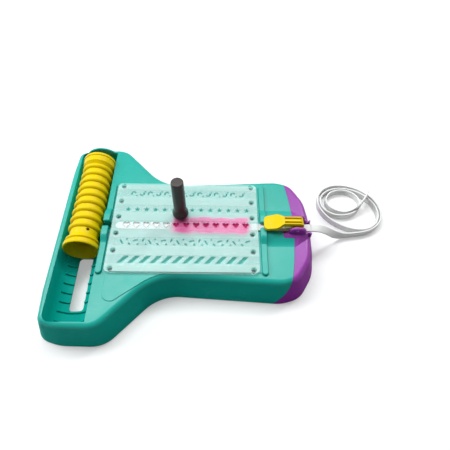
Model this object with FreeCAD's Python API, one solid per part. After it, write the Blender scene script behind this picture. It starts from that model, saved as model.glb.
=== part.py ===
import FreeCAD, Part
import math
import os

from FreeCAD import Vector

# Bracelet craft station: a soft white strap lies in a straight channel, under a clear stencil
# plate that holds it for inking, through a cam clamp, and is wound on a grooved roller.
#
# Frame, in millimetres: +X along the strap towards the clamp, +Y away from the user, +Z up.
# The origin is on the table, under the middle of the body's outline. The body is symmetrical
# about the plane Y = 0, which is also the strap's centre line.

# ---- driving dimensions --------------------------------------------------------------------

# the plate, the roller's flange and the lobes set the body's size
plate_length = 151.8
plate_width = 109.0
flange_radius = 18.3
running_gap = 0.4
trough_radius = flange_radius + running_gap
lobe_half_width = 116.7

# lengthwise: plate, rail, trough, border
rail_x = plate_length / 2 + 5.5
rail_to_trough = 3.9
trough_border = 15.8
roller_axis_x = -(rail_x + rail_to_trough + trough_radius)
body_half_length = -roller_axis_x + trough_radius + trough_border

# body outline at the table: (x, y, corner radius) of its corners on the user's side
lobe_side = (-body_half_length, -lobe_half_width + 43.2, 150.0)
lobe_corner = (-body_half_length + 2.3, -lobe_half_width + 8.0, 16.0)
lobe_end = (-body_half_length + 24.0, -lobe_half_width + 0.8, 50.0)
lobe_shoulder = (-body_half_length + 66.0, -lobe_half_width, 28.0)
waist = (-body_half_length + 115.0, -plate_width / 2 - 9.0, 45.0)
clamp_end_side = (body_half_length - 38.5, -plate_width / 2 - 17.0, 40.0)
clamp_end_corner = (body_half_length - 19.0, -plate_width / 2 - 10.6, 26.0)
clamp_end_shoulder = (body_half_length - 3.7, -plate_width / 2 + 15.5, 45.0)
clamp_end_flat = (body_half_length, -10.0, 120.0)

# heights above the table
foot_projection = 1.2
border_level = 32.8
panel_rise = 0.7
panel_level = border_level + panel_rise

# mouldings
wall = 2.2
draft_inset = 8.0
edge_round = 5.5
seat_gap = 0.1
joint_gap = 0.2

# strap
strap_width = 8.6
strap_thickness = 1.8
strap_left_end = -plate_length / 2 + 3.9
strap_side_gap = 0.6
channel_half = strap_width / 2 + strap_side_gap

# stencil plate and the seat it stands on
panel_left = -rail_x + 7.2
panel_half_width = plate_width / 2 - 2.0
panel_ear_half_width = lobe_half_width - 33.3
panel_ear_length = 10.8
panel_ear_corner = 7.8
panel_edge_round = 0.35
plate_thickness = 1.6
plate_corner = 4.5
plate_lift = 2.0
plate_rim = 1.4
lane_pitch = 20.36
lane_recess_half = 4.7
lane_recess_depth = 0.25
lane_recess_margin = 6.0
stud_column_x = plate_length / 2 - 5.9
stud_radius = 2.6
stud_pin_radius = 1.9
stud_pin_length = 2.0
deck_hole_radius = 2.2
lane_holes = 6

# motifs: count, pitch and middle of each lane's row, then the motif's own size
star_count = 14
star_pitch = 9.68
star_middle_x = 1.7
star_size = 6.6
star_waist = 0.44
star_drop = 0.9
heart_count = 13
heart_pitch = 10.3
heart_middle_x = 1.2
heart_size = 6.9
stripe_count = 12
stripe_pitch = 10.72
stripe_middle_x = 0.3
stripe_length = 4.95
stripe_height = 8.1
stripe_lean = 7.1
hook_count = 14
hook_pitch = 9.0
hook_middle_x = 0.6
hook_radius = 2.2
hook_width = 1.6
hook_start_angle = 20.0
hook_sweep_angle = 205.0
hook_dot_radius = 0.9
hook_dot_x = 3.5
hook_dot_y = 2.6
dash_pitch = 28.45
first_dash_x = -62.8
dash_count = 32
dash_width = 1.7
dashes = [(0.0, -0.4, 5.9, -58), (5.2, 2.9, 2.0, 46), (8.0, -2.7, 3.5, -46), (13.7, 1.4, 5.5, 17),
          (16.6, -3.0, 2.8, 44), (21.6, 1.8, 4.2, 67), (24.6, -3.2, 1.9, -29)]

# guide rails at both ends of the plate
rail_width = 6.5
rail_half_length = plate_width / 2 + 0.9
rail_rise = 2.0
hump_rise = 6.0
hump_flat_y = 13.0
hump_foot_y = 24.0
nose_half_gap = 2.8
nose_height = 2.4

# saddle that carries the strap to the clamp
saddle_rise = 4.0
saddle_crest_y = 6.7
saddle_foot_y = 24.5
saddle_end_x = body_half_length - 11.0
mouth_end_x = body_half_length - 7.0
saddle_foot_at_seam = 26.0
saddle_foot_at_end = 14.0
saddle_head_at_seam = 11.0
saddle_head_at_end = 7.6
mouth_half_width = 8.6

# trough and winding roller
trough_half_length = lobe_half_width - 13.1
trough_lean = math.radians(20.0)
trough_flare = 2.4
trough_corner = 8.0
trough_near_corner = 0.8
roller_axis_z = border_level - 3.3
trough_floor = roller_axis_z - trough_radius
roller_length = 118.4
roller_end_space = 12.8
roller_near_y = trough_half_length - roller_end_space - roller_length
ring_pitch = 9.8
ring_count = 9
first_ring_y = roller_near_y + 22.7
ring_radius = 16.9
ring_half_foot = 2.9
groove_radius = 14.4
bore_radius = 12.7
mouth_radius = 16.6
mouth_depth = 12.0
anchor_hole_radius = 1.7
anchor_hole_angle = 61.0
index_rib_rise = 1.5
index_rib_width = 1.7
index_rib_half_angle = 52.0
first_index_rib_y = roller_near_y - 10.0
index_rib_end_space = 4.0
index_rib_count = 1 + int((trough_half_length + first_index_rib_y - index_rib_end_space) / ring_pitch)
cheek_rise = 6.2
cheek_thickness = 2.8

# gate through which the strap passes from the roller to its channel
gate_depth = 6.0
gate_right = -plate_length / 2 - 0.3

# slot through the trough's floor
slot_left = roller_axis_x - 5.4
slot_right = roller_axis_x + 8.8
slot_near_y = -trough_half_length + 17.9
slot_far_y = roller_near_y + 5.1
slot_corner = 4.0
slot_skirt = 1.8
slot_lean = 4.0

# end cover
seam_x = body_half_length - 25.0
seam_bulge_radius = 303.0
seam_curl_level = 33.5
seam_curl_radius = 44.0
tongue_left = body_half_length - 37.0
tongue_half_width = 13.5
tongue_corner = 3.0

# clamp lever, its pin and its lugs
pin_x = body_half_length - 22.5
pin_rise = 8.6
pin_radius = 1.5
pin_bore_gap = 0.08
pin_seat_gap = 0.05
cam_radius = 5.5
cam_offset = 1.0
cam_rest_gap = running_gap - 0.1
lever_half_width = 4.5
lever_top_rise = 15.0
lever_body_thickness = 5.6
lever_tab_half_width = 8.7
lever_tab_thickness = 3.0
lever_tip_x = pin_x - 34.4
lever_tab_start_x = pin_x - 15.0
lever_groove_depth = 2.2
lug_half_length = 10.5
lug_rise = 12.0
lug_thickness = 4.5
lug_corner = 6.0

# fasteners and feet
boss_radius = 3.5
screw_shank_radius = 1.45
screw_bore_gap = 0.05
screw_head_radius = 2.8
screw_head_height = 1.4
screw_length = 11.0
screw_recess = 1.5
head_gap = 0.3
cover_plate_thickness = 2.2
shell_screw_places = [(-body_half_length + 70.5, lobe_half_width - 22.7),
                      (-8.0, plate_width / 2 - 6.0),
                      (body_half_length - 53.5, plate_width / 2 + 0.5)]
cover_screw_place = (body_half_length - 16.5, 25.0)
foot_radius = 6.0
foot_recess = 1.0
foot_places = [(-body_half_length + 24.5, lobe_half_width - 24.7),
               (body_half_length - 30.5, plate_width / 2 - 4.5)]

# inking dauber that stands on the plate
dauber_x = -5.0
dauber_y = 12.5
dauber_foot_radius = 8.3
dauber_grip_radius = 6.5
dauber_foot_height = 3.2
dauber_flare_height = 10.0
dauber_height = 52.0
dauber_taper = 0.3
sponge_radius = 6.4
sponge_show = 2.2
sponge_seat = 6.0

# free tail of the strap: (x, y, z, twist) down to the table, then loose turns on edge
tail_points = [
    (mouth_end_x, 0.0, panel_level + strap_thickness / 2, 0),
    (mouth_end_x + 7.5, 0.3, 34.0, 4),
    (mouth_end_x + 16.5, 1.8, 28.5, 22),
    (mouth_end_x + 25.5, 4.5, 18.5, 45),
    (mouth_end_x + 34.5, 7.6, 9.0, 68),
    (mouth_end_x + 42.5, 9.9, 4.9, 84),
    (mouth_end_x + 50.5, 11.2, strap_width / 2, 90),
]
coil_centre = (mouth_end_x + 56.1, 46.6)
coil_half_axes = (38.6, 32.6)
coil_angle = 137.0
coil_hole_centre = (mouth_end_x + 51.5, 57.0)
coil_hole_half_axes = (17.5, 12.5)
coil_hole_angle = 170.0
coil_lead_length = 14.0


# ---- wires and simple solids ---------------------------------------------------------------

def mirrored(half_corners):
    """The closed outline made of the given corners and their mirror images about Y = 0."""
    return half_corners + [(x, -y, r) for x, y, r in reversed(half_corners)]


def inset(corners, distance):
    """The outline's corners moved inwards by a distance, with concentric corner radii."""
    moved = []
    for i, (x, y, radius) in enumerate(corners):
        before, after = corners[i - 1], corners[(i + 1) % len(corners)]
        into = Vector(x - before[0], y - before[1], 0).normalize()
        out = Vector(after[0] - x, after[1] - y, 0).normalize()
        turn = into.x * out.y - into.y * out.x
        normals = Vector(-into.y - out.y, into.x + out.x, 0)
        shift = normals * (distance / (1 + into.dot(out)))
        new_radius = radius - distance if turn > 0 else radius + distance
        moved.append((x + shift.x, y + shift.y, max(new_radius, 0.0)))
    return moved


def rounded_wire(corners, place):
    """A closed wire of straight sides and corner arcs; place turns (a, b) into a 3-D point."""
    cuts = []
    for i, (a, b, radius) in enumerate(corners):
        corner = place(a, b)
        back = (place(*corners[i - 1][:2]) - corner).normalize()
        ahead = (place(*corners[(i + 1) % len(corners)][:2]) - corner).normalize()
        half = back.getAngle(ahead) / 2
        reach = radius / math.tan(half)
        middle = corner + (back + ahead).normalize() * (radius / math.sin(half) - radius)
        cuts.append((corner + back * reach, middle, corner + ahead * reach, radius))
    edges = []
    for i, (start, middle, end, radius) in enumerate(cuts):
        if radius > 0:
            edges.append(Part.Arc(start, middle, end).toShape())
        following = cuts[(i + 1) % len(cuts)][0]
        if end.distanceToPoint(following) > 1e-6:
            edges.append(Part.LineSegment(end, following).toShape())
    return Part.Wire(edges)


def plan_prism(corners, bottom, top):
    """A vertical prism over an outline in plan."""
    wire = rounded_wire(corners, lambda x, y: Vector(x, y, bottom))
    return Part.Face(wire).extrude(Vector(0, 0, top - bottom))


def along_x(profile, x_start, x_end):
    """A (y, z) profile extruded along X."""
    wire = rounded_wire(profile, lambda y, z: Vector(x_start, y, z))
    return Part.Face(wire).extrude(Vector(x_end - x_start, 0, 0))


def along_y(profile, y_start, y_end):
    """An (x, z) profile extruded along Y."""
    wire = rounded_wire(profile, lambda x, z: Vector(x, y_start, z))
    return Part.Face(wire).extrude(Vector(0, y_end - y_start, 0))


def rectangle(x_low, x_high, y_low, y_high, radius=0.0):
    return [(x_low, y_low, radius), (x_high, y_low, radius),
            (x_high, y_high, radius), (x_low, y_high, radius)]


def box(x_low, x_high, y_low, y_high, z_low, z_high):
    return Part.makeBox(x_high - x_low, y_high - y_low, z_high - z_low,
                        Vector(x_low, y_low, z_low))


def upright(radius, x, y, bottom, top):
    return Part.makeCylinder(radius, top - bottom, Vector(x, y, bottom))


def all_quadrants(places):
    """Each (x, y) place and its mirror image about Y = 0."""
    return [(x, side * y) for x, y in places for side in (-1, 1)]


def round_edges(shape, radius, chosen):
    """The shape with the chosen edges rounded."""
    return shape.makeFillet(radius, [edge for edge in shape.Edges if chosen(edge)])


def at_level(edge, level):
    bounds = edge.BoundBox
    return abs(bounds.ZMin - level) < 1e-4 and abs(bounds.ZMax - level) < 1e-4


# ---- body blocks ---------------------------------------------------------------------------

body_outline = mirrored([lobe_side, lobe_corner, lobe_end, lobe_shoulder, waist,
                         clamp_end_side, clamp_end_corner, clamp_end_shoulder,
                         clamp_end_flat])


def body_block(depth, top):
    """The drafted and rounded body, offset inwards by a depth, up to a top level."""
    lower = rounded_wire(inset(body_outline, depth), lambda x, y: Vector(x, y, foot_projection))
    upper = rounded_wire(inset(body_outline, depth + draft_inset), lambda x, y: Vector(x, y, top))
    block = Part.makeLoft([lower, upper], True, True)
    return round_edges(block, edge_round - depth, lambda edge: at_level(edge, top))


def seam_core(offset):
    """Everything on the roller's side of the curved seam, moved by an offset along X."""
    axis_x = seam_x - seam_bulge_radius
    reach = seam_bulge_radius + offset
    above = panel_level + 60
    curl = math.asin(seam_curl_level / seam_curl_radius)

    def on_curl(angle):
        drop = seam_curl_radius * (1 - math.cos(angle))
        return Vector(axis_x + reach - drop, 0, seam_curl_level - seam_curl_radius * math.sin(angle))

    foot = on_curl(curl)
    edges = [
        Part.LineSegment(Vector(axis_x, 0, above), Vector(axis_x + reach, 0, above)),
        Part.LineSegment(Vector(axis_x + reach, 0, above), on_curl(0)),
        Part.Arc(on_curl(0), on_curl(curl / 2), foot),
        Part.LineSegment(foot, Vector(axis_x, 0, foot.z)),
        Part.LineSegment(Vector(axis_x, 0, foot.z), Vector(axis_x, 0, above)),
    ]
    face = Part.Face(Part.Wire([edge.toShape() for edge in edges]))
    return face.revolve(Vector(axis_x, 0, 0), Vector(0, 0, 1), 360)


def trough_section(radius, top):
    """The trough's (x, z) section: round below, open upwards, its outer wall leaning out."""
    floor = roller_axis_z - radius
    foot = roller_axis_x - radius / math.cos(trough_lean) + radius * math.tan(trough_lean)
    head = foot - (top - floor) * math.tan(trough_lean)
    return [(head, top, 0.0), (foot, floor, radius - 0.001),
            (roller_axis_x + radius, floor, radius - 0.001), (roller_axis_x + radius, top, 0.0)]


def saddle_profile():
    """The raised ridge beside the strap, with the strap's channel along its crest."""
    crest = panel_level + saddle_rise
    base = border_level - wall / 2
    half = [
        (-saddle_foot_y - 6.0, base, 0.0),
        (-saddle_foot_y - 6.0, border_level - 0.4, 0.0),
        (-saddle_foot_y + 4.0, border_level, 16.0),
        (-saddle_crest_y - 4.0, crest, 9.0),
        (-saddle_crest_y, crest, 0.8),
        (-channel_half, panel_level, 0.0),
    ]
    return half + [(-y, z, r) for y, z, r in reversed(half)]


def saddle_bounds(seam_half, end_half, level):
    """The ridge's bounds at a level: its full width up to the seam, then a taper to its end."""
    reach = saddle_foot_y + 6.0
    corners = mirrored([(rail_x - 1, -reach, 0.0), (seam_x - 3.0, -reach, 0.0),
                        (seam_x + 1.0, -seam_half, 0.0), (saddle_end_x, -end_half, 0.0)])
    return rounded_wire(corners, lambda x, y: Vector(x, y, level))


def channel_cut(x_start, x_end):
    """The space kept free for the strap and what is above it."""
    half = [(-channel_half, panel_level, 0.0), (channel_half, panel_level, 0.0)]
    high = panel_level + saddle_rise + 20
    return along_x(half + [(saddle_crest_y, panel_level + saddle_rise, 0.0),
                           (saddle_crest_y, high, 0.0), (-saddle_crest_y, high, 0.0),
                           (-saddle_crest_y, panel_level + saddle_rise, 0.0)], x_start, x_end)


cover_plate_top = foot_projection + cover_plate_thickness
outer_block = body_block(0.0, border_level)
cavity_block = body_block(wall, border_level - wall)
plate_outline = inset(body_outline, wall + 0.3 + joint_gap)
plate_pocket = plan_prism(inset(body_outline, wall + 0.3), -1.0, cover_plate_top)
tongue_zone = plan_prism(rectangle(tongue_left, seam_x + 8, -tongue_half_width,
                                   tongue_half_width, tongue_corner), border_level - wall, 90.0)
tongue_slot = plan_prism(rectangle(tongue_left - joint_gap, seam_x + 8,
                                   -tongue_half_width - joint_gap, tongue_half_width + joint_gap,
                                   tongue_corner + joint_gap), border_level - wall - joint_gap, 90.0)
ridge = along_x(saddle_profile(), rail_x, saddle_end_x)
ridge = ridge.cut(channel_cut(rail_x - 1, saddle_end_x + 1))
ridge = ridge.common(Part.makeLoft([
    saddle_bounds(saddle_foot_at_seam, saddle_foot_at_end, border_level - wall),
    saddle_bounds(saddle_head_at_seam, saddle_head_at_end, panel_level + saddle_rise + 1.0),
], True, True))


# ---- pieces --------------------------------------------------------------------------------

def guide_rail(x):
    """A rail beside the plate, with two humps whose noses reach over the strap's edges."""
    low, top = border_level - 0.4, panel_level + rail_rise
    half = rail_width / 2
    bead = plan_prism(rectangle(x - half, x + half, -rail_half_length, rail_half_length,
                                half - 0.05), low, top)
    bead = round_edges(bead, 1.2, lambda edge: at_level(edge, top))
    crest = panel_level + hump_rise
    profile = [
        (-hump_foot_y - 1.0, low, 0.0),
        (-hump_foot_y - 1.0, top - 0.5, 0.0),
        (-hump_foot_y + 3.0, top - 0.3, 9.0),
        (-hump_flat_y - 1.0, crest, 9.0),
        (-nose_half_gap, crest, 1.6),
        (-nose_half_gap, panel_level + nose_height + 0.8, 0.6),
        (-channel_half, panel_level + nose_height, 0.0),
        (-channel_half, low, 0.0),
    ]
    hump = along_x(profile, x - half, x + half)
    long_top = [edge for edge in hump.Edges if edge.BoundBox.XLength < 1e-6
                and edge.BoundBox.ZMin > top - 0.6 and edge.BoundBox.YMax < -nose_half_gap + 1e-6
                and edge.BoundBox.YLength > 0.5]
    hump = hump.makeFillet(0.9, long_top)
    other = hump.mirror(Vector(0, 0, 0), Vector(0, 1, 0))
    opening = box(x - half - 1, x + half + 1, -channel_half, channel_half, low - 1, crest + 9)
    return bead.cut(opening).fuse([hump, other])


def index_ribs():
    """Raised arcs on the free part of the trough's floor, one ring pitch apart."""
    ribs = []
    for i in range(index_rib_count):
        y = first_index_rib_y - i * ring_pitch
        crest, root = trough_radius - index_rib_rise, trough_radius + 0.3
        corners = [(crest, y - index_rib_width / 2), (root, y - index_rib_width / 2),
                   (root, y + index_rib_width / 2), (crest, y + index_rib_width / 2)]
        points = [Vector(roller_axis_x + r, at, roller_axis_z) for r, at in corners]
        face = Part.Face(Part.makePolygon(points + points[:1]))
        axis = Vector(roller_axis_x, 0, roller_axis_z)
        face.rotate(axis, Vector(0, 1, 0), 90 - index_rib_half_angle)
        ribs.append(face.revolve(axis, Vector(0, 1, 0), 2 * index_rib_half_angle))
    return ribs


def trough_hollow():
    """The space inside the trough, with its outer corners rounded in plan."""
    hollow = along_y(trough_section(trough_radius, border_level + 30),
                     -trough_half_length, trough_half_length)
    left, right = roller_axis_x - trough_radius - trough_flare, roller_axis_x + trough_radius
    plan = mirrored([(left, -trough_half_length, trough_corner),
                     (right, -trough_half_length, trough_near_corner)])
    return hollow.common(plan_prism(plan, 0.0, border_level + 30))


def far_cheek():
    """The arched end wall that rises behind the roller's far end."""
    radius = trough_radius + wall
    centre_z = border_level + cheek_rise - radius
    arch = Part.makeCylinder(radius, cheek_thickness,
                             Vector(roller_axis_x, trough_half_length, centre_z), Vector(0, 1, 0))
    arch = round_edges(arch, 1.2, lambda edge: edge.BoundBox.YLength < 1e-6)
    return arch.common(box(-body_half_length, 0, 0, lobe_half_width,
                           border_level - edge_round, 2 * border_level))


def slot_corners(grow, lean):
    return rectangle(slot_left - lean - grow, slot_right + grow, slot_near_y - grow,
                     slot_far_y + grow, slot_corner + grow)


def slot_shaft(grow, bottom):
    """The slot below the trough's floor, with its outer side leaning out downwards."""
    lean = slot_lean * (1 - bottom / trough_floor)
    lower = rounded_wire(slot_corners(grow, lean), lambda x, y: Vector(x, y, bottom))
    upper = rounded_wire(slot_corners(grow, 0.0), lambda x, y: Vector(x, y, trough_floor))
    return Part.makeLoft([lower, upper], True, True)


def gate(grow, top):
    """The pocket between the trough and the strap's end, grown by a wall for its casing."""
    left = roller_axis_x + trough_radius - 1.0
    return box(left, gate_right + grow, -channel_half - grow, channel_half + grow,
               panel_level - gate_depth - grow, top)


def seat_panel():
    """The plate's seat, a low step with an ear in each lobe."""
    corners = mirrored([
        (panel_left, -panel_ear_half_width, panel_ear_corner),
        (panel_left + panel_ear_length, -panel_ear_half_width, 5.5),
        (waist[0] + 0.5, -panel_half_width, 60.0),
        (rail_x, -panel_half_width, 1.0),
    ])
    panel = plan_prism(corners, border_level - 0.4, panel_level)
    return round_edges(panel, panel_edge_round, lambda edge: at_level(edge, panel_level))


def screw_bosses(places, top):
    return [upright(boss_radius, x, y, cover_plate_top, top) for x, y in all_quadrants(places)]


def screw_bores(places):
    radius = screw_shank_radius + screw_bore_gap
    depth = foot_projection + screw_recess + screw_length + 1.0
    return [upright(radius, x, y, 0.0, depth) for x, y in all_quadrants(places)]


def top_shell():
    """Deck, trough and rails in one moulding, closed by an end wall at the seam."""
    core = seam_core(0.0)
    inside = cavity_block.common(seam_core(-wall))
    shell = outer_block.common(core).cut(inside)
    tray = along_y(trough_section(trough_radius + wall, border_level - wall / 2),
                   -trough_half_length - wall, trough_half_length + wall)
    deck_underside = border_level - wall / 2
    skirt = slot_shaft(slot_skirt, cover_plate_top)
    shell = shell.fuse([tray.common(outer_block), skirt, gate(wall, deck_underside)]
                       + screw_bosses(shell_screw_places, deck_underside))
    shell = shell.fuse([seat_panel(), far_cheek(), ridge.common(core)]).cut(trough_hollow())
    shell = shell.fuse([guide_rail(-rail_x), guide_rail(rail_x)] + index_ribs())
    columns = [(x, (i + 0.5) * lane_pitch) for x in (-stud_column_x, stud_column_x)
               for i in range(lane_holes // 2)]
    holes = [upright(deck_hole_radius, x, y, border_level - wall - 1, panel_level + 1)
             for x, y in all_quadrants(columns)]
    channel = box(roller_axis_x, rail_x + rail_width, -channel_half, channel_half,
                  panel_level, panel_level + nose_height)
    throat = plan_prism(slot_corners(0.0, 0.0), trough_floor - wall, roller_axis_z)
    cuts = [slot_shaft(0.0, 0.0), throat, plate_pocket, tongue_slot, channel,
            gate(0.0, panel_level + 0.1)]
    return shell.cut(cuts + holes + screw_bores(shell_screw_places)).removeSplitter()


def strap_mouth():
    """The flared lips at the outlet, open upwards."""
    start, length = saddle_end_x - 1.5, mouth_end_x - saddle_end_x + 1.5
    low, high = panel_level - 4.0, panel_level + 2.6

    def frame(x, half, bottom, top):
        points = [Vector(x, -half, bottom), Vector(x, half, bottom),
                  Vector(x, half, top), Vector(x, -half, top)]
        return Part.makePolygon(points + points[:1])

    outside = Part.makeLoft([frame(start, saddle_crest_y, low, high),
                             frame(start + length, mouth_half_width, low - 0.6, high + 0.8)], True, True)
    flare = Part.makeLoft([frame(start - 1, channel_half, panel_level, high + 9),
                           frame(start + length + 1, channel_half + 2.2, panel_level, high + 9)],
                          True, True)
    return outside, flare


def clamp_lugs():
    profile = [(pin_x - lug_half_length, border_level, 0.0),
               (pin_x - lug_half_length + 3.2, panel_level + lug_rise, lug_corner),
               (pin_x + lug_half_length - 2.2, panel_level + lug_rise, lug_corner),
               (pin_x + lug_half_length, border_level, 0.0)]
    near = along_y(profile, -channel_half - lug_thickness, -channel_half)
    outer_face = -channel_half - lug_thickness
    near = round_edges(near, 1.6, lambda edge: abs(edge.BoundBox.YMin - outer_face) < 1e-4
                       and abs(edge.BoundBox.YMax - outer_face) < 1e-4
                       and edge.BoundBox.ZMax > border_level + 1)
    return [near, near.mirror(Vector(0, 0, 0), Vector(0, 1, 0))]


def end_cover():
    """The cap over the clamp end, with the tongue and lugs that carry the lever."""
    outside = outer_block.fuse(ridge)
    cap = outside.cut(seam_core(joint_gap)).fuse(outside.common(tongue_zone))
    mouth, flare = strap_mouth()
    cap = cap.cut(cavity_block).fuse([mouth] + clamp_lugs()
                                     + screw_bosses([cover_screw_place], border_level - wall / 2))
    pin_hole = Part.makeCylinder(pin_radius + pin_seat_gap, 60,
                                 Vector(pin_x, -30, panel_level + pin_rise), Vector(0, 1, 0))
    bed = channel_cut(tongue_left - 5, saddle_end_x)
    return cap.cut([flare, bed, pin_hole, plate_pocket]
                   + screw_bores([cover_screw_place])).removeSplitter()


def bottom_cover():
    """The flat plate that closes the underside, with recesses for the screws and feet."""
    plate = plan_prism(plate_outline, foot_projection, cover_plate_top)
    screws = all_quadrants(shell_screw_places + [cover_screw_place])
    cuts = [slot_shaft(0.0, 0.0)]
    for x, y in screws:
        cuts.append(upright(screw_shank_radius + screw_bore_gap, x, y, 0.0, 20.0))
        cuts.append(upright(screw_head_radius + head_gap, x, y, 0.0,
                            foot_projection + screw_recess))
    for x, y in all_quadrants(foot_places):
        cuts.append(upright(foot_radius + 0.2, x, y, 0.0, foot_projection + foot_recess))
    return plate.cut(cuts)


def screws(places):
    """Pan-head screws that hold the bottom cover, with their heads down."""
    made = []
    seat = foot_projection + screw_recess
    for x, y in all_quadrants(places):
        head = upright(screw_head_radius, x, y, seat - screw_head_height, seat)
        shank = upright(screw_shank_radius, x, y, seat, seat + screw_length)
        cross = box(x - 1.7, x + 1.7, y - 0.35, y + 0.35, 0.0, seat - 0.6)
        cross = cross.fuse(box(x - 0.35, x + 0.35, y - 1.7, y + 1.7, 0.0, seat - 0.6))
        made.append(head.fuse(shank).cut(cross))
    return Part.makeCompound(made)


def foot(x, y):
    pad = upright(foot_radius, x, y, 0.0, foot_projection + foot_recess)
    return round_edges(pad, 0.5, lambda edge: at_level(edge, 0.0))


def heart(x, y, z, size):
    """A heart-shaped prism with its point towards the user."""
    lobe = size * 0.27
    parts = [upright(lobe, x + side * lobe * 0.92, y + lobe * 0.75, z - 5, z + 5)
             for side in (-1, 1)]
    outline = [(x, y - size * 0.45, 0.0), (x + size * 0.49, y + lobe * 0.3, 0.0),
               (x, y + lobe * 1.2, 0.0), (x - size * 0.49, y + lobe * 0.3, 0.0)]
    return plan_prism(outline, z - 5, z + 5).fuse(parts)


def star(x, y, z, size):
    corners = []
    for i in range(10):
        radius = size / 2 * (1.0 if i % 2 == 0 else star_waist)
        angle = math.radians(90 + 36 * i)
        corners.append((x + radius * math.cos(angle), y + radius * math.sin(angle), 0.0))
    return plan_prism(corners, z - 5, z + 5)


def slanted_bar(x, y, z, length, width, angle):
    bar = plan_prism(rectangle(-length / 2, length / 2, -width / 2, width / 2, width * 0.45),
                     z - 5, z + 5)
    bar.rotate(Vector(0, 0, 0), Vector(0, 0, 1), angle)
    bar.translate(Vector(x, y, 0))
    return bar


def hook(x, y, z, start):
    """A curved stroke of constant width."""
    outer, inner = hook_radius + hook_width / 2, hook_radius - hook_width / 2
    ring = Part.makeCylinder(outer, 10, Vector(x, y, z - 5), Vector(0, 0, 1), hook_sweep_angle)
    ring = ring.cut(upright(inner, x, y, z - 6, z + 6))
    ring.rotate(Vector(x, y, 0), Vector(0, 0, 1), start)
    return ring


def stripe(x, y, z):
    """A leaning bar with level ends."""
    half, rise, lean = stripe_length / 2, stripe_height / 2, stripe_lean / 2
    return plan_prism([(x - half - lean, y - rise, 0.0), (x + half - lean, y - rise, 0.0),
                       (x + half + lean, y + rise, 0.0), (x - half + lean, y + rise, 0.0)],
                      z - 5, z + 5)


def spread(count, pitch, middle):
    """Equally spaced x places along a lane."""
    return [middle + pitch * (i - (count - 1) / 2) for i in range(count)]


def stencil_cuts(z):
    """Five lanes of motifs, from the far lane of hooks and dots to the near lane of stripes."""
    far, second, middle, fourth, near = (lane_pitch * k for k in (2, 1, 0, -1, -2))
    cuts = []
    for i, x in enumerate(spread(hook_count, hook_pitch, hook_middle_x)):
        side = 1 if i % 2 == 0 else -1
        cuts.append(hook(x, far, z, hook_start_angle + 90 * (1 - side)))
        cuts.append(upright(hook_dot_radius, x + hook_dot_x, far - hook_dot_y * side,
                            z - 5, z + 5))
    star_y = second - star_drop
    cuts += [star(x, star_y, z, star_size) for x in spread(star_count, star_pitch, star_middle_x)]
    cuts += [heart(x, middle, z, heart_size)
             for x in spread(heart_count, heart_pitch, heart_middle_x)]
    for i in range(dash_count):
        dx, dy, length, angle = dashes[i % len(dashes)]
        x = first_dash_x + dash_pitch * (i // len(dashes)) + dx
        cuts.append(slanted_bar(x, fourth + dy, z, length, dash_width, angle))
    cuts += [stripe(x, near, z) for x in spread(stripe_count, stripe_pitch, stripe_middle_x)]
    return cuts


def lane_recesses(top):
    """Shallow steps in the plate's upper face, one along each lane."""
    reach = plate_length / 2 - lane_recess_margin
    return [box(-reach, reach, lane_pitch * k - lane_recess_half, lane_pitch * k + lane_recess_half,
                top - lane_recess_depth, top + 1) for k in (-2, -1, 0, 1, 2)]


def stencil_plate():
    """The clear plate: a sheet on two long rims and four studs, with five lanes of motifs."""
    low = panel_level + plate_lift
    top = low + plate_thickness
    half_length, half_width = plate_length / 2, plate_width / 2
    sheet = plan_prism(rectangle(-half_length, half_length, -half_width, half_width,
                                 plate_corner), low, top)
    sheet = round_edges(sheet, 0.4, lambda edge: at_level(edge, top))
    rim_bottom = panel_level + seat_gap
    rim_reach = half_length - plate_corner - 1.0
    pieces = []
    for side in (-1, 1):
        y_low, y_high = sorted((side * half_width, side * (half_width - plate_rim)))
        pieces.append(box(-rim_reach, rim_reach, y_low, y_high, rim_bottom, low + 0.2))
    for x, y in all_quadrants([(-stud_column_x, lane_pitch / 2), (stud_column_x, lane_pitch / 2)]):
        pieces.append(upright(stud_radius, x, y, panel_level + seat_gap, low + 0.2))
        pieces.append(upright(stud_pin_radius, x, y, panel_level - stud_pin_length, low))
    cuts = lane_recesses(top) + stencil_cuts(low + plate_thickness / 2)
    return sheet.fuse(pieces).cut(cuts).removeSplitter()


def strap():
    """The strap's threaded length, flat in its channel."""
    corner = strap_width / 2 - 0.05
    half = strap_width / 2
    outline = [(strap_left_end, -half, corner), (mouth_end_x, -half, 0.0),
               (mouth_end_x, half, 0.0), (strap_left_end, half, corner)]
    return plan_prism(outline, panel_level, panel_level + strap_thickness)


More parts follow.
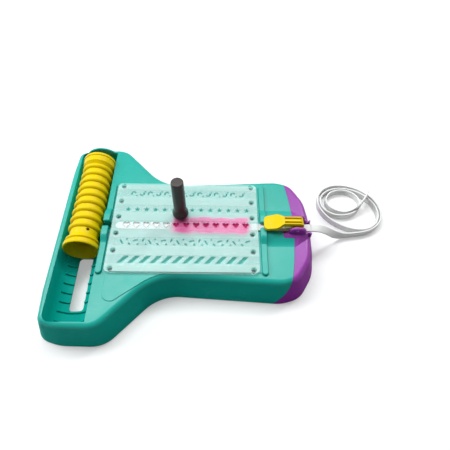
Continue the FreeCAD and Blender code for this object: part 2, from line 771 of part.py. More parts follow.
def winding_roller():
    """The hollow grooved roller, turned about its own axis."""
    near, far = roller_near_y, roller_near_y + roller_length
    last_ring = first_ring_y + ring_pitch * (ring_count - 1)
    edges, at = [], None

    def to(y, r):
        nonlocal at
        point = Vector(roller_axis_x + r, y, roller_axis_z)
        if at is not None:
            edges.append(Part.LineSegment(at, point).toShape())
        at = point

    def bump(y):
        nonlocal at
        crest = Vector(roller_axis_x + ring_radius, y, roller_axis_z)
        end = Vector(roller_axis_x + groove_radius, y + ring_half_foot, roller_axis_z)
        edges.append(Part.Arc(at, crest, end).toShape())
        at = end

    to(near, mouth_radius)
    to(near, flange_radius - 0.4)
    to(near + 1.0, flange_radius)
    to(near + 4.2, flange_radius - 0.2)
    to(near + 5.2, flange_radius - 2.2)
    to(near + 6.4, flange_radius - 2.3)
    to(near + 7.6, flange_radius - 0.9)
    to(near + 9.2, flange_radius - 1.1)
    to(near + 12.8, groove_radius)
    for i in range(ring_count):
        y = first_ring_y + i * ring_pitch
        to(y - ring_half_foot, groove_radius)
        bump(y)
    to(last_ring + 3.4, groove_radius)
    to(last_ring + 6.8, flange_radius - 0.8)
    to(far - 4.6, flange_radius - 0.5)
    to(far - 4.2, flange_radius - 0.9)
    to(far - 3.6, flange_radius - 0.9)
    to(far - 3.2, flange_radius)
    to(far - 0.8, flange_radius)
    to(far, flange_radius - 0.5)
    to(far, mouth_radius)
    to(far - mouth_depth, bore_radius)
    to(near + mouth_depth, bore_radius)
    to(near, mouth_radius)
    axis = Vector(roller_axis_x, 0, roller_axis_z)
    body = Part.Face(Part.Wire(edges)).revolve(axis, Vector(0, 1, 0), 360)
    angle = math.radians(anchor_hole_angle)
    hole_y = first_ring_y - ring_pitch / 2
    hole = Part.makeCylinder(anchor_hole_radius, flange_radius + 5,
                             Vector(roller_axis_x, hole_y, roller_axis_z),
                             Vector(math.cos(angle), 0, math.sin(angle)))
    return body.cut(hole)


def lever_pin():
    reach = channel_half + lug_thickness - 0.2
    return Part.makeCylinder(pin_radius, 2 * reach,
                             Vector(pin_x, -reach, panel_level + pin_rise), Vector(0, 1, 0))


def clamp_lever():
    """A cam on the pin, a ribbed body and a broad thumb tab that curves down to its tip."""
    top = panel_level + lever_top_rise
    pin_z = panel_level + pin_rise
    cam_low = pin_z - cam_offset
    cam = Part.makeCylinder(cam_radius, 2 * lever_half_width,
                            Vector(pin_x, -lever_half_width, cam_low), Vector(0, 1, 0))
    start = lever_tab_start_x
    body = along_y([(start - 2.0, top - lever_body_thickness, 0.0),
                    (pin_x, top - lever_body_thickness, 0.0),
                    (pin_x + 3.0, pin_z - 2.0, 1.0),
                    (pin_x + 6.2, pin_z - 1.0, 2.0),
                    (pin_x + 6.2, top, 4.5),
                    (start - 2.0, top, 0.0)], -lever_half_width, lever_half_width)
    tip = lever_tip_x
    side = along_y([(tip, top - 5.2, 0.8),
                    (tip, top - 5.2 - lever_tab_thickness, 0.8),
                    (tip + 9.0, top - 3.6 - lever_tab_thickness, 14.0),
                    (start + 1.0, top - lever_body_thickness + 0.8, 6.0),
                    (start + 4.0, top - lever_body_thickness + 0.4, 0.0),
                    (start + 4.0, top - 0.2, 0.0),
                    (start - 1.0, top, 6.0),
                    (tip + 9.0, top - 3.2, 16.0)], -12.0, 12.0)
    half, tab = lever_half_width, lever_tab_half_width
    plan = plan_prism(mirrored([(start + 4.0, -half, 0.0), (start + 1.0, -half, 3.0),
                                (start - 6.0, -tab, 5.0), (tip, -tab + 0.8, 5.0)][::-1]),
                      panel_level - 5, top + 5)
    lever = side.common(plan).fuse([body, cam])
    groove_width = 2.3
    for low in (-half + 1.0, half - 1.0 - groove_width):
        lever = lever.cut(box(start + 1.5, pin_x + 4.0, low, low + groove_width,
                              top - lever_groove_depth, top + 2))
    bore = Part.makeCylinder(pin_radius + pin_bore_gap, 30, Vector(pin_x, -15, pin_z),
                             Vector(0, 1, 0))
    return lever.cut(bore).removeSplitter()


def dauber_sponge():
    base = panel_level + plate_lift + plate_thickness + seat_gap
    pad = upright(sponge_radius, dauber_x, dauber_y, base, base + sponge_show + sponge_seat)
    return round_edges(pad, 1.2, lambda edge: at_level(edge, base))


def dauber_barrel():
    """The hand grip of the dauber: a tapered sleeve with a socket for the sponge."""
    base = panel_level + plate_lift + plate_thickness + seat_gap + sponge_show
    top = base + dauber_height
    low, flared = base + dauber_foot_height, base + dauber_flare_height
    profile = [(dauber_x, base, 0.0), (dauber_x + dauber_foot_radius, base, 1.2),
               (dauber_x + dauber_foot_radius, low, 2.0),
               (dauber_x + dauber_grip_radius, flared, 9.0),
               (dauber_x + dauber_grip_radius - dauber_taper, top, 1.3), (dauber_x, top, 0.0)]
    wire = rounded_wire(profile, lambda x, z: Vector(x, dauber_y, z))
    axis = Vector(dauber_x, dauber_y, 0)
    barrel = Part.Face(wire).revolve(axis, Vector(0, 0, 1), 360)
    socket = upright(sponge_radius + 0.1, dauber_x, dauber_y, base - 1, base + sponge_seat + 0.1)
    return barrel.cut(socket)


def strap_tail():
    """The strap's free run from the mouth down to the table, turning from flat to on edge."""
    places = [Vector(x, y, z) for x, y, z, twist in tail_points]
    report_route(places)
    sections = []
    for i, (x, y, z, twist) in enumerate(tail_points):
        ahead = places[min(i + 1, len(places) - 1)] - places[max(i - 1, 0)]
        if i == 0 or i == len(places) - 1:
            ahead = Vector(1, 0, 0)
        ahead.normalize()
        level = Vector(0, 0, 1).cross(ahead).normalize()
        rise = ahead.cross(level)
        angle = math.radians(twist)
        broad = level * math.cos(angle) + rise * math.sin(angle)
        thin = ahead.cross(broad)
        wide, deep = broad * (strap_width / 2), thin * (strap_thickness / 2)
        corners = [places[i] + wide + deep, places[i] - wide + deep,
                   places[i] - wide - deep, places[i] + wide - deep]
        sections.append(Part.makePolygon(corners + corners[:1]))
    tail = Part.makeLoft(sections, True, True)
    length = sum(a.distanceToPoint(b) for a, b in zip(places, places[1:]))
    print(f"tail: length {length:.1f}, volume {tail.Volume:.0f}, section x length "
          f"{strap_width * strap_thickness * length:.0f}")
    return tail


def report_route(places):
    """Prints the radius of the circle through each point of the route and its neighbours."""
    for before, here, after in zip(places, places[1:], places[2:]):
        sides = [before.distanceToPoint(here), here.distanceToPoint(after),
                 after.distanceToPoint(before)]
        doubled_area = (here - before).cross(after - before).Length
        print(f"tail: at x {here.x:.1f} the bend's radius is "
              f"{sides[0] * sides[1] * sides[2] / (2 * doubled_area):.1f}")


def strap_coil():
    """The outer shape of the strap's loose turns, standing on edge on the table."""
    def ellipse_prism(centre, half_axes, angle):
        curve = Part.Ellipse(Vector(*centre, 0), *half_axes)
        edge = curve.toShape()
        edge.rotate(Vector(*centre, 0), Vector(0, 0, 1), angle)
        return Part.Face(Part.Wire([edge])).extrude(Vector(0, 0, strap_width))

    turns = ellipse_prism(coil_centre, coil_half_axes, coil_angle)
    hole = ellipse_prism(coil_hole_centre, coil_hole_half_axes, coil_hole_angle)
    x, y = tail_points[-1][:2]
    lead = box(x, x + coil_lead_length, y - strap_thickness / 2, y + strap_thickness / 2,
               0.0, strap_width)
    beside_tail = box(0, x, -100, y + 4.0, -1, strap_width + 1)
    return turns.cut([beside_tail, hole]).fuse(lead).removeSplitter()


# ---- build ---------------------------------------------------------------------------------

def build():
    pieces = {
        "top_shell": top_shell(),
        "bottom_cover": bottom_cover(),
        "end_cover": end_cover(),
        "shell_screws": screws(shell_screw_places),
        "cover_screws": screws([cover_screw_place]),
        "strap": strap(),
        "stencil_plate": stencil_plate(),
        "winding_roller": winding_roller(),
        "lever_pin": lever_pin(),
        "clamp_lever": clamp_lever(),
        "dauber_barrel": dauber_barrel(),
        "dauber_sponge": dauber_sponge(),
        "strap_tail": strap_tail(),
        "strap_coil": strap_coil(),
    }
    for number, (x, y) in enumerate(all_quadrants(foot_places), 1):
        pieces[f"foot_{number}"] = foot(x, y)
    os.makedirs("parts", exist_ok=True)
    for name, shape in pieces.items():
        shape.exportStep(f"parts/{name}.step")
        bounds = shape.BoundBox
        print(f"{name:16s} solids {len(shape.Solids)} valid {shape.isValid()} "
              f"volume {shape.Volume:9.1f} x {bounds.XMin:.1f}..{bounds.XMax:.1f} "
              f"y {bounds.YMin:.1f}..{bounds.YMax:.1f} z {bounds.ZMin:.1f}..{bounds.ZMax:.1f}")


build()
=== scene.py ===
import math

import bpy
import numpy as np
from mathutils import Matrix, Vector


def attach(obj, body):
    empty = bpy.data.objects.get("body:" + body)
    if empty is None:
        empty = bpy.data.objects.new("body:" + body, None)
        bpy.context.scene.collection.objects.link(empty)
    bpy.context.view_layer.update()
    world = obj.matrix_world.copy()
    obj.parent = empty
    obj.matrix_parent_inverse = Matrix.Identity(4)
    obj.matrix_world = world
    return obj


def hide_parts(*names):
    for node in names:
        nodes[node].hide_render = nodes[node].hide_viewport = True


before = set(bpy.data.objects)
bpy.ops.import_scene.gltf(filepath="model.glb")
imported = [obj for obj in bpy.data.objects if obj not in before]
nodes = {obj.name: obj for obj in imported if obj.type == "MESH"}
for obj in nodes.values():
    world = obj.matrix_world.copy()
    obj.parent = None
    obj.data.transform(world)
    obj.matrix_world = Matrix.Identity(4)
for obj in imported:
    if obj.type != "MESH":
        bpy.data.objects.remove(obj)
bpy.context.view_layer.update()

mm = 0.001
print("frame loaded:", len(nodes), "nodes")


# camera and studio

cameraSetup = {"place": (0.0344, -0.2334, 0.3895), "lens": 32.54, "sensor": 36.0,
               "down": 56.40, "yaw": 1.76, "roll": 2.26, "near": 0.01, "far": 20.0}


def placeCamera(setup):
    # turned up from straight down by (90 - down), then about the vertical, rolled about its own axis
    data = bpy.data.cameras.new("viewCamera")
    data.lens, data.sensor_width = setup["lens"], setup["sensor"]
    data.sensor_fit = "HORIZONTAL"
    data.clip_start, data.clip_end = setup["near"], setup["far"]
    camera = bpy.data.objects.new("viewCamera", data)
    tilt = math.radians(90.0 - setup["down"])
    turn = (Matrix.Rotation(-math.radians(setup["yaw"]), 4, "Z") @ Matrix.Rotation(tilt, 4, "X")
            @ Matrix.Rotation(math.radians(setup["roll"]), 4, "Z"))
    camera.matrix_world = Matrix.Translation(setup["place"]) @ turn
    bpy.context.scene.collection.objects.link(camera)
    bpy.context.scene.camera = camera


placeCamera(cameraSetup)


def meshPiece(name, points, faces, material, smooth=True):
    # a mesh object from an array of points and an array of faces
    mesh = bpy.data.meshes.new(name)
    mesh.from_pydata(np.asarray(points, float).tolist(), [], [list(map(int, f)) for f in faces])
    mesh.validate()
    mesh.polygons.foreach_set("use_smooth", np.full(len(mesh.polygons), smooth))
    mesh.materials.append(material)
    piece = bpy.data.objects.new(name, mesh)
    bpy.context.scene.collection.objects.link(piece)
    return piece


def gridFaces(rows, columns, closed):
    # quads between neighbouring rows of a grid of points, wrapped round when closed
    row, column = np.meshgrid(np.arange(rows - 1), np.arange(columns - (not closed)), indexing="ij")
    beside = (column + 1) % columns
    corners = [row * columns + column, row * columns + beside,
               (row + 1) * columns + beside, (row + 1) * columns + column]
    return np.stack(corners, -1).reshape(-1, 4)


def tubeFaces(rows, columns):
    # a closed tube's sides, with a single face over each end
    ends = [list(range(columns))[::-1], list(range((rows - 1) * columns, rows * columns))]
    return [list(f) for f in gridFaces(rows, columns, True)] + ends


# shader tools

def hexColour(text):
    # sRGB hex digits to the linear colour that a socket takes
    parts = [int(text[i:i + 2], 16) / 255 for i in (0, 2, 4)]
    return tuple(c / 12.92 if c < 0.04045 else ((c + 0.055) / 1.055) ** 2.4 for c in parts) + (1.0,)


def feed(tree, socket, value):
    # a socket takes a link from another socket, or a plain value
    if isinstance(value, bpy.types.NodeSocket):
        tree.links.new(value, socket)
    else:
        socket.default_value = value


def addNode(tree, kind, inputs=(), **settings):
    # a shader node with its settings made and its inputs fed
    node = tree.nodes.new("ShaderNode" + kind)
    for key, value in settings.items():
        setattr(node, key, value)
    for key, value in dict(inputs).items():
        feed(tree, node.inputs[key], value)
    return node


def maths(tree, operation, a, b=0.0, clamp=False):
    # one step of arithmetic on two values, kept within 0..1 when clamped
    node = addNode(tree, "Math", {0: a, 1: b}, operation=operation)
    node.use_clamp = clamp
    return node.outputs[0]


def ranged(tree, value, low, high, start=0.0, end=1.0):
    # value from low..high carried to start..end
    node = addNode(tree, "MapRange", {"Value": value, "From Min": low, "From Max": high,
                                      "To Min": start, "To Max": end})
    return node.outputs["Result"]


def mixed(tree, factor, a, b):
    # colour a where factor is 0, colour b where it is 1; the colour sockets are 6, 7 and output 2
    node = addNode(tree, "Mix", data_type="RGBA")
    for socket, value in zip((node.inputs[0], node.inputs[6], node.inputs[7]), (factor, a, b)):
        feed(tree, socket, value)
    return node.outputs[2]


def placeVector(tree, scale=(1, 1, 1), shift=(0, 0, 0)):
    # the place on the part in metres, stretched and shifted
    where = addNode(tree, "TexCoord").outputs["Object"]
    return addNode(tree, "Mapping", {"Vector": where, "Scale": scale, "Location": shift}).outputs[0]


def noise(tree, vector, scale, detail, **more):
    # one reading of a noise texture, 0..1; more names its other inputs
    inputs = {"Vector": vector, "Scale": scale, "Detail": detail, **more}
    return addNode(tree, "TexNoise", inputs).outputs[0]


def newGroup(name, takes, gives):
    # a node group with named inputs, which have a kind and a first value, and named outputs
    tree = bpy.data.node_groups.new(name, "ShaderNodeTree")
    for label, kind, value in takes:
        socket = tree.interface.new_socket(label, in_out="INPUT", socket_type="NodeSocket" + kind)
        if value is not None:
            socket.default_value = value
    for label, kind in gives:
        tree.interface.new_socket(label, in_out="OUTPUT", socket_type="NodeSocket" + kind)
    return tree, tree.nodes.new("NodeGroupInput").outputs, tree.nodes.new("NodeGroupOutput").inputs


def useGroup(tree, group, **values):
    # the group placed in a material, with its inputs fed by name
    node = tree.nodes.new("ShaderNodeGroup")
    node.node_tree = group
    for key, value in values.items():
        feed(tree, node.inputs[key], value)
    return node.outputs


def newMaterial(name, **sockets):
    # a Principled material; sockets that are the same all over are set here
    material = bpy.data.materials.new(name)
    material.use_nodes = True
    shader = material.node_tree.nodes["Principled BSDF"]
    for key, value in sockets.items():
        shader.inputs[key.replace("_", " ")].default_value = value
    return material, material.node_tree, shader.inputs


def bumped(tree, inputs, height, distance):
    # height 0..1 raises the surface by up to distance, in metres
    node = addNode(tree, "Bump", {"Height": height, "Distance": distance, "Strength": 1.0})
    tree.links.new(node.outputs[0], inputs["Normal"])


# shared effects

grainLook = {"coarser": 0.22, "fineShare": 0.7, "pitShare": 0.3, "cloud": (0.3, 0.7)}


def makeMouldGrain():
    # spark-eroded grain: a fine noise and one about four times coarser; cloud: slow flow of the melt
    tree, given, out = newGroup("mouldGrain", [("Vector", "Vector", None), ("Grain", "Float", 1800.0),
                                               ("Flow", "Float", 14.0)],
                                [("Height", "Float"), ("Cloud", "Float")])
    where = given["Vector"]
    fine = noise(tree, where, given["Grain"], 2.0, Roughness=0.6)
    broad = maths(tree, "MULTIPLY", given["Grain"], grainLook["coarser"])
    pits = noise(tree, where, broad, 1.0)
    cloud = noise(tree, where, given["Flow"], 3.0, Roughness=0.55, Distortion=0.6)
    feed(tree, out["Height"], maths(tree, "ADD", maths(tree, "MULTIPLY", fine, grainLook["fineShare"]),
                                    maths(tree, "MULTIPLY", pits, grainLook["pitShare"])))
    feed(tree, out["Cloud"], ranged(tree, cloud, *grainLook["cloud"]))
    return tree


wearLook = {"runs": ((0.5, 3.0), (-0.9, 11.0)),  # angle of the hairlines, and where their noise is read
            "stretch": (18, 420, 60), "hairWidth": 0.012, "patchScale": 38.0, "patch": (0.5, 0.68),
            "smearScale": 55.0, "smear": (0.45, 0.75)}


def makeHandling():
    # hairline scratches: thin bands of a stretched noise near its middle value, in two directions
    tree, given, out = newGroup("handling", [("Vector", "Vector", None), ("Amount", "Float", 0.5)],
                                [("Scratch", "Float"), ("Smudge", "Float")])
    where = given["Vector"]
    lines = []
    for angle, seed in wearLook["runs"]:
        along = addNode(tree, "Mapping", {"Vector": where, "Rotation": (0, 0, angle),
                                          "Location": (seed, seed, 0), "Scale": wearLook["stretch"]})
        reading = noise(tree, along.outputs[0], 1.0, 2.0)
        offset = maths(tree, "ABSOLUTE", maths(tree, "SUBTRACT", reading, 0.5))
        lines.append(ranged(tree, offset, 0.0, wearLook["hairWidth"], 1.0, 0.0))
    worn = ranged(tree, noise(tree, where, wearLook["patchScale"], 2.0), *wearLook["patch"])
    patch = maths(tree, "MULTIPLY", worn, given["Amount"])
    feed(tree, out["Scratch"], maths(tree, "MULTIPLY", maths(tree, "MAXIMUM", *lines), patch))
    smear = noise(tree, where, wearLook["smearScale"], 4.0, Distortion=1.5)
    feed(tree, out["Smudge"], ranged(tree, smear, *wearLook["smear"]))
    return tree


heartEdge = 0.12  # softness of a heart's outline


def makeHeartRow():
    # a row of hearts along X: (u^2 + v^2 - 1)^3 < u^2 v^3, with u and v in units of Size
    tree, given, out = newGroup("heartRow", [("Vector", "Vector", None), ("Pitch", "Float", 0.01),
                                             ("Middle", "Float", 0.0), ("Size", "Float", 0.003)],
                                [("Heart", "Float")])
    axes = addNode(tree, "SeparateXYZ", {0: given["Vector"]}).outputs
    along = maths(tree, "DIVIDE", maths(tree, "SUBTRACT", axes[0], given["Middle"]), given["Pitch"])
    nearest = maths(tree, "SUBTRACT", along, maths(tree, "ROUND", along))
    u = maths(tree, "DIVIDE", maths(tree, "MULTIPLY", nearest, given["Pitch"]), given["Size"])
    v = maths(tree, "DIVIDE", axes[1], given["Size"])
    uu, vv = maths(tree, "MULTIPLY", u, u), maths(tree, "MULTIPLY", v, v)
    ring = maths(tree, "SUBTRACT", maths(tree, "ADD", uu, vv), 1.0)
    cube = maths(tree, "MULTIPLY", maths(tree, "MULTIPLY", ring, ring), ring)
    lobes = maths(tree, "MULTIPLY", uu, maths(tree, "MULTIPLY", vv, v))
    inside = maths(tree, "SUBTRACT", cube, lobes)
    feed(tree, out["Heart"], ranged(tree, inside, heartEdge, -heartEdge))
    return tree


mouldGrain = makeMouldGrain()
handling = makeHandling()
heartRow = makeHeartRow()


# the free tail of the strap: route points as in the part's source, then the loose turns

strapSize = {"width": 8.6 * mm, "thickness": 1.8 * mm, "corner": 0.55 * mm}
tailRoute = np.array([(131.5, 0.0, 34.4), (139.0, 0.3, 34.0), (148.0, 1.8, 28.5), (157.0, 4.5, 18.5),
                      (166.0, 7.6, 9.0), (174.0, 9.9, 4.9), (182.0, 11.2, 4.3)]) * mm
tailTwist = np.radians([0, 4, 22, 45, 68, 84, 90])
turnSetup = {
    # direction in degrees, centre x and y, half axes and tilt of the ellipse that the strap follows
    "stations": np.array([(-90, 179.49, 47.49, 44.01, 34.26, 2.80),
                          (270, 191.06, 46.48, 35.63, 28.45, 2.65),
                          (630, 177.00, 55.47, 23.02, 19.20, 3.06),
                          (1010, 184.31, 55.69, 19.51, 14.53, 3.26)]),
    "first": -66.0, "last": 992.0, "perTurn": 16, "level": 4.3,
}
tipRoute = np.array([(194.9, 44.9, 7.0), (198.6, 47.4, 11.6), (202.4, 51.6, 13.4), (206.3, 57.3, 13.4),
                     (211.3, 65.3, 13.2)]) * mm


def looseTurns(setup):
    # centre + R(tilt)(a cos(t - tilt), b sin(t - tilt)), all five values sliding between stations
    count = int((setup["last"] - setup["first"]) / 360 * setup["perTurn"])
    angle = np.linspace(setup["first"], setup["last"], count)
    table = setup["stations"]
    cx, cy, a, b, tilt = (np.interp(angle, table[:, 0], table[:, k]) for k in range(1, 6))
    swell = 1 / math.cos(math.pi / setup["perTurn"])  # the spline runs inside its points
    u = swell * a * np.cos(np.radians(angle) - tilt)
    v = swell * b * np.sin(np.radians(angle) - tilt)
    x, y = cx + u * np.cos(tilt) - v * np.sin(tilt), cy + u * np.sin(tilt) + v * np.cos(tilt)
    return np.stack([x, y, np.full(count, setup["level"])], 1) * mm


def splineLine(points):
    # the line of a NURBS curve of order 3 that has these points as its control points
    data = bpy.data.curves.new("route", "CURVE")
    data.dimensions, data.resolution_u = "3D", 8
    spline = data.splines.new("NURBS")
    spline.points.add(len(points) - 1)
    spline.points.foreach_set("co", np.c_[points, np.ones(len(points))].ravel())
    spline.order_u = 3
    spline.use_endpoint_u = True
    carrier = bpy.data.objects.new("route", data)
    bpy.context.scene.collection.objects.link(carrier)
    bpy.context.view_layer.update()
    mesh = bpy.data.meshes.new_from_object(carrier.evaluated_get(bpy.context.evaluated_depsgraph_get()))
    line = np.zeros(len(mesh.vertices) * 3)
    mesh.vertices.foreach_get("co", line)
    bpy.data.objects.remove(carrier)
    bpy.data.meshes.remove(mesh)
    return line.reshape(-1, 3)


def strapSection(size, perCorner=4):
    # rounded rectangle: a corner circle's points pushed out to each corner's centre
    corner = size["corner"]
    quarter = np.linspace(0, math.pi / 2, perCorner)
    angle = np.concatenate([quarter + k * math.pi / 2 for k in range(4)])
    signs = np.repeat([(1, 1), (-1, 1), (-1, -1), (1, -1)], perCorner, axis=0)
    wide = signs[:, 0] * (size["width"] / 2 - corner)
    deep = signs[:, 1] * (size["thickness"] / 2 - corner)
    return wide + corner * np.cos(angle), deep + corner * np.sin(angle)


def flatCord(name, line, twist, size, material):
    # line(s) + wide * broad(s) + deep * thin(s), the section turned by twist(s) about the line
    ahead = np.gradient(line, axis=0)
    ahead /= np.linalg.norm(ahead, axis=1, keepdims=True)
    ahead[0] = (1, 0, 0)
    level = np.cross((0, 0, 1), ahead)
    level /= np.linalg.norm(level, axis=1, keepdims=True)
    rise = np.cross(ahead, level)
    broad = level * np.cos(twist)[:, None] + rise * np.sin(twist)[:, None]
    thin = np.cross(ahead, broad)
    wide, deep = strapSection(size)
    points = line[:, None] + wide[None, :, None] * broad[:, None] + deep[None, :, None] * thin[:, None]
    return meshPiece(name, points.reshape(-1, 3), tubeFaces(len(line), len(wide)), material)


paint = {"pitch": 10.3 * mm, "middle": 1.2 * mm, "size": 4.1 * mm, "up": 0.1 * mm,
         "start": -14.5 * mm, "end": 69.0 * mm, "level": 35.0 * mm,
         "ink": "A40C50", "inkLight": "AE165E", "dull": 0.42}
strapLook = {"pale": "D9D9D8", "paleLight": "E3E3E2", "smudge": "D4D5D4", "smudgeShare": 0.25,
             "grain": 900.0, "flow": 30.0, "wear": 0.5, "rough": (0.41, 0.52), "bump": 0.06 * mm,
             "glow": 0.12, "glowDepth": 2.0 * mm, "glowColour": (1.0, 0.9, 0.8)}


def makeStrapMaterial():
    # soft white silicone, with painted hearts on the length that has been inked
    material, tree, inputs = newMaterial("strapSilicone", IOR=1.45, Subsurface_Weight=strapLook["glow"],
                                         Subsurface_Scale=strapLook["glowDepth"],
                                         Subsurface_Radius=strapLook["glowColour"])
    where = addNode(tree, "TexCoord").outputs["Object"]
    grain = useGroup(tree, mouldGrain, Vector=where, Grain=strapLook["grain"], Flow=strapLook["flow"])
    touch = useGroup(tree, handling, Vector=where, Amount=strapLook["wear"])
    lower = placeVector(tree, shift=(0, -paint["up"], 0))
    hearts = useGroup(tree, heartRow, Vector=lower, Pitch=paint["pitch"], Middle=paint["middle"],
                      Size=paint["size"])["Heart"]
    axes = addNode(tree, "SeparateXYZ", {0: where}).outputs
    inked = maths(tree, "MULTIPLY", maths(tree, "GREATER_THAN", axes[0], paint["start"]),
                  maths(tree, "LESS_THAN", axes[0], paint["end"]))
    above = maths(tree, "GREATER_THAN", axes[2], paint["level"])
    mask = maths(tree, "MULTIPLY", maths(tree, "MULTIPLY", hearts, inked), above)
    pale = mixed(tree, grain["Cloud"], hexColour(strapLook["pale"]), hexColour(strapLook["paleLight"]))
    smudged = maths(tree, "MULTIPLY", touch["Smudge"], strapLook["smudgeShare"])
    pale = mixed(tree, smudged, pale, hexColour(strapLook["smudge"]))
    ink = mixed(tree, grain["Cloud"], hexColour(paint["ink"]), hexColour(paint["inkLight"]))
    feed(tree, inputs["Base Color"], mixed(tree, mask, pale, ink))
    rough = ranged(tree, grain["Cloud"], 0.0, 1.0, *strapLook["rough"])
    feed(tree, inputs["Roughness"], maths(tree, "ADD", rough, maths(tree, "MULTIPLY", mask,
                                                                    paint["dull"])))
    bumped(tree, inputs, grain["Height"], strapLook["bump"])
    return material


strapMaterial = makeStrapMaterial()

route = np.concatenate([tailRoute, looseTurns(turnSetup), tipRoute])
tailLine = splineLine(route)
gone = np.r_[0, np.cumsum(np.linalg.norm(np.diff(tailLine, axis=0), axis=1))]
reached = [gone[np.argmin(np.linalg.norm(tailLine - p, axis=1))] for p in tailRoute]
tailTwistAlong = np.interp(gone, reached, tailTwist)
print("free strap length: %.4f m over %d points" % (gone[-1], len(tailLine)))
freeStrap = flatCord("freeStrap", tailLine, tailTwistAlong, strapSize, strapMaterial)
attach(freeStrap, "base")
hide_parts("strap_tail", "strap_coil")
print("free strap laid")


# the threaded length of the strap, flat in its channel

threaded = {"start": -72.0 * mm, "end": 131.5 * mm, "floor": 33.5 * mm, "stations": 160,
            "endRound": 4.2 * mm, "endStations": 14, "tip": 0.06, "tipShare": 0.04,
            "wave": 0.02 * mm, "waveLength": 31.0 * mm}


def threadedStrap(setup, size, material):
    # the section carried along X, narrowed to a half circle at its start: w = sqrt(1 - (1 - s/r)^2)
    arc = np.linspace(setup["tip"], math.pi / 2, setup["endStations"])
    first = setup["start"] + setup["endRound"] * 1.05
    x = np.r_[setup["start"] + setup["endRound"] * (1 - np.cos(arc)),
              np.linspace(first, setup["end"], setup["stations"])]
    run = np.clip((x - setup["start"]) / setup["endRound"], 0, 1)
    rounded = np.sqrt(np.clip(1 - (1 - run) ** 2, 0, 1))
    share = rounded * (1 - setup["tipShare"]) + setup["tipShare"] * (run >= 1)
    wide, deep = strapSection(size)
    y = share[:, None] * wide[None]
    dip = setup["wave"] * (1 - np.cos(2 * math.pi * (x - setup["start"]) / setup["waveLength"]))
    z = setup["floor"] + size["thickness"] / 2 + deep[None] - dip[:, None] * (deep > 0)
    points = np.stack([np.broadcast_to(x[:, None], y.shape), y, z], -1)
    return meshPiece("threadedStrap", points.reshape(-1, 3), tubeFaces(len(x), len(wide)), material)


bandStrap = threadedStrap(threaded, strapSize, strapMaterial)
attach(bandStrap, "base")
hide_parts("strap")
print("threaded strap laid")


# moulded plastics

mouldLook = {"flow": 11.0, "wear": 0.4, "scratchShare": 0.35, "wearSpan": 1.6,
             "coatRoughness": 0.12, "bump": 0.04 * mm}
mattSides = {"low": 28.0 * mm, "high": 32.2 * mm, "specular": 0.04, "rougher": 0.28}
moulds = {
    "tealMould": {"tones": ("009689", "01A093", "6CCFC4"), "rough": (0.31, 0.43), "grain": 1500.0,
                  "coat": 0.0, "specular": 0.36, "matt": True},
    "purpleMould": {"tones": ("842A92", "8F349C", "B98AC6"), "rough": (0.30, 0.42), "grain": 1700.0,
                    "coat": 0.0, "specular": 0.34, "matt": True},
    "yellowMould": {"tones": ("D6B900", "E0C500", "FFF6A0"), "rough": (0.28, 0.42), "grain": 2200.0,
                    "coat": 0.0, "specular": 0.10, "matt": False},
    # the plastic is black; the brown in these tones is a painted reflection of warm brown surroundings
    "blackMouldPaintedReflection": {"tones": ("1E1410", "2A1D17", "4A3D35"), "rough": (0.34, 0.48), "grain": 2000.0,
                   "coat": 0.10, "specular": 0.30, "matt": False},
}


def makeMoulded(name):
    # two tones of one plastic mixed by the melt's flow, and a third in its hairlines, with fine grain;
    # where it has matt sides, they lose their gloss between the heights low and high
    look = moulds[name]
    material, tree, inputs = newMaterial(name, IOR=1.5, Coat_Weight=look["coat"],
                                         Coat_Roughness=mouldLook["coatRoughness"],
                                         Specular_IOR_Level=look["specular"])
    where = addNode(tree, "TexCoord").outputs["Object"]
    mould = useGroup(tree, mouldGrain, Vector=where, Grain=look["grain"], Flow=mouldLook["flow"])
    touch = useGroup(tree, handling, Vector=where, Amount=mouldLook["wear"])
    deep, light, scratched = (hexColour(tone) for tone in look["tones"])
    hairlines = maths(tree, "MULTIPLY", touch["Scratch"], mouldLook["scratchShare"])
    feed(tree, inputs["Base Color"], mixed(tree, hairlines, mixed(tree, mould["Cloud"], deep, light),
                                           scratched))
    wear = maths(tree, "ADD", touch["Smudge"], touch["Scratch"])
    rough = ranged(tree, wear, 0.0, mouldLook["wearSpan"], *look["rough"])
    if look["matt"]:
        height = addNode(tree, "SeparateXYZ", {0: where}).outputs[2]
        side = ranged(tree, height, mattSides["low"], mattSides["high"], 1.0, 0.0)
        feed(tree, inputs["Specular IOR Level"], ranged(tree, side, 0.0, 1.0, look["specular"],
                                                        mattSides["specular"]))
        rough = maths(tree, "ADD", rough, maths(tree, "MULTIPLY", side, mattSides["rougher"]))
    feed(tree, inputs["Roughness"], rough)
    bumped(tree, inputs, mould["Height"], mouldLook["bump"])
    return material


rubberLook = {"deep": "1B1B1C", "bloom": "2C2C2D", "grain": 1200.0, "flow": 60.0,
              "rough": (0.62, 0.85), "bump": 0.1 * mm}


def makeRubber():
    # matt rubber: grain, pale bloom, and its heights rougher than its pits
    look = rubberLook
    material, tree, inputs = newMaterial("footRubber", IOR=1.5)
    where = addNode(tree, "TexCoord").outputs["Object"]
    mould = useGroup(tree, mouldGrain, Vector=where, Grain=look["grain"], Flow=look["flow"])
    feed(tree, inputs["Base Color"], mixed(tree, mould["Cloud"], hexColour(look["deep"]),
                                           hexColour(look["bloom"])))
    feed(tree, inputs["Roughness"], ranged(tree, mould["Height"], 0.3, 0.7, *look["rough"]))
    bumped(tree, inputs, mould["Height"], look["bump"])
    return material


steelLook = {"bright": "C3C5C8", "dull": "A6A8AC", "wear": 0.8, "marks": (400, 9000, 400),
             "rough": (0.24, 0.46), "bump": 0.02 * mm}


